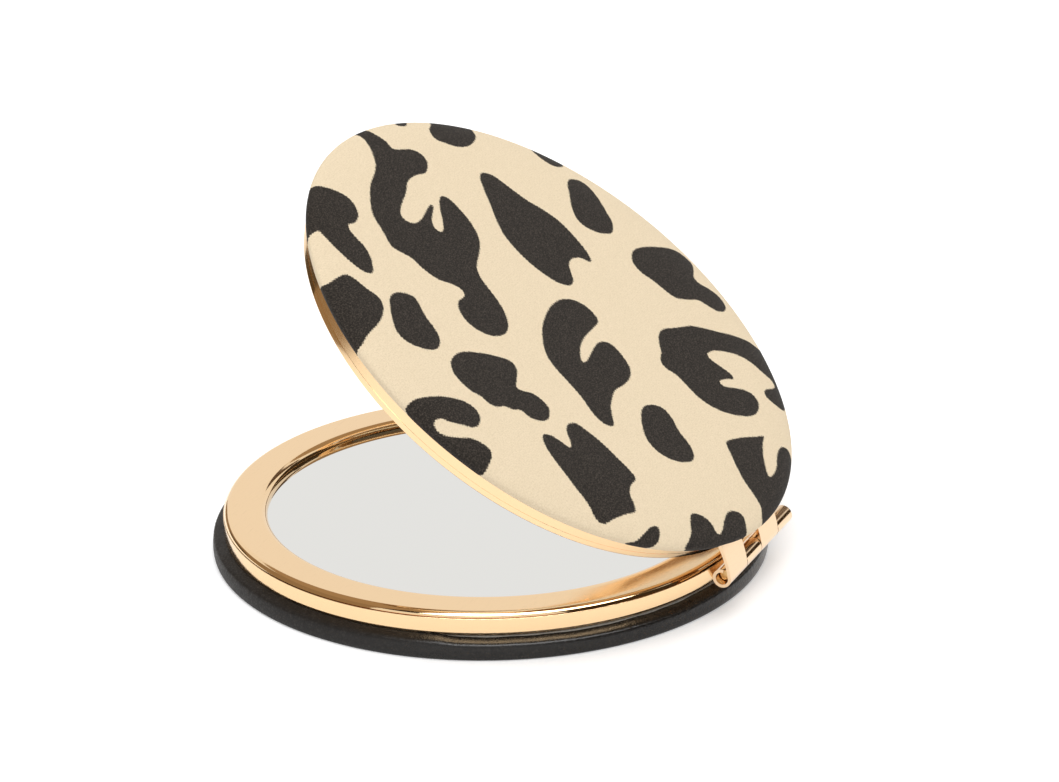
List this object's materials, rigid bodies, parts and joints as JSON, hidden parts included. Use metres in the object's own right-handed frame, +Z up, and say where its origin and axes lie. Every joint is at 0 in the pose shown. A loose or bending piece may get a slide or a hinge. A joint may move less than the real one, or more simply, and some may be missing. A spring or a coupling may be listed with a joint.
{
  "type": "compact mirror",
  "caption": "Round folding pocket mirror with gold-toned metal halves, a mirror in each, a padded animal-print lid, a padded leather underside and a rolled-knuckle hinge.",
  "frame": {"origin": "centre of the flat leather underside that the base rests on", "axes": "+Z up through the base, +Y towards the hinge at the back, +X along the hinge"},
  "size_m": [0.0706, 0.0729, 0.0512],
  "materials": {
    "black_leather": "satin",
    "printed_cloth": "matte",
    "foam": "matte",
    "grey_board": "matte",
    "gold_sheet": "polished",
    "gold_ring": "polished",
    "hinge_gold": "polished",
    "pin_metal": "satin",
    "rivet_metal": "satin",
    "mirror_glass": "polished",
    "tape": "matte",
    "magnet": "satin"
  },
  "bodies": {
    "base": {"base_leather_cover": "black_leather", "base_foam_pad": "foam", "base_cover_board": "grey_board", "base_pan": "gold_sheet", "base_mirror_tape": "tape", "base_mirror_glass": "mirror_glass", "base_bezel": "gold_ring", "base_magnet": "magnet", "base_hinge_leaf": "hinge_gold", "base_leaf_rivets": "rivet_metal", "hinge_pin": "pin_metal"},
    "lid": {"lid_fabric_cover": "printed_cloth", "lid_foam_pad": "foam", "lid_cover_board": "grey_board", "lid_pan": "gold_sheet", "lid_mirror_tape": "tape", "lid_mirror_glass": "mirror_glass", "lid_bezel": "gold_ring", "lid_magnet": "magnet", "lid_hinge_leaf": "hinge_gold", "lid_leaf_rivets": "rivet_metal"}
  },
  "joints": [
    {"name": "lid_hinge", "type": "hinge", "parent": "base", "child": "lid", "pos_m": [0, 0.036, 0.0058], "axis": [-1, 0, 0], "range_deg": [-36, 144]}
  ]
}
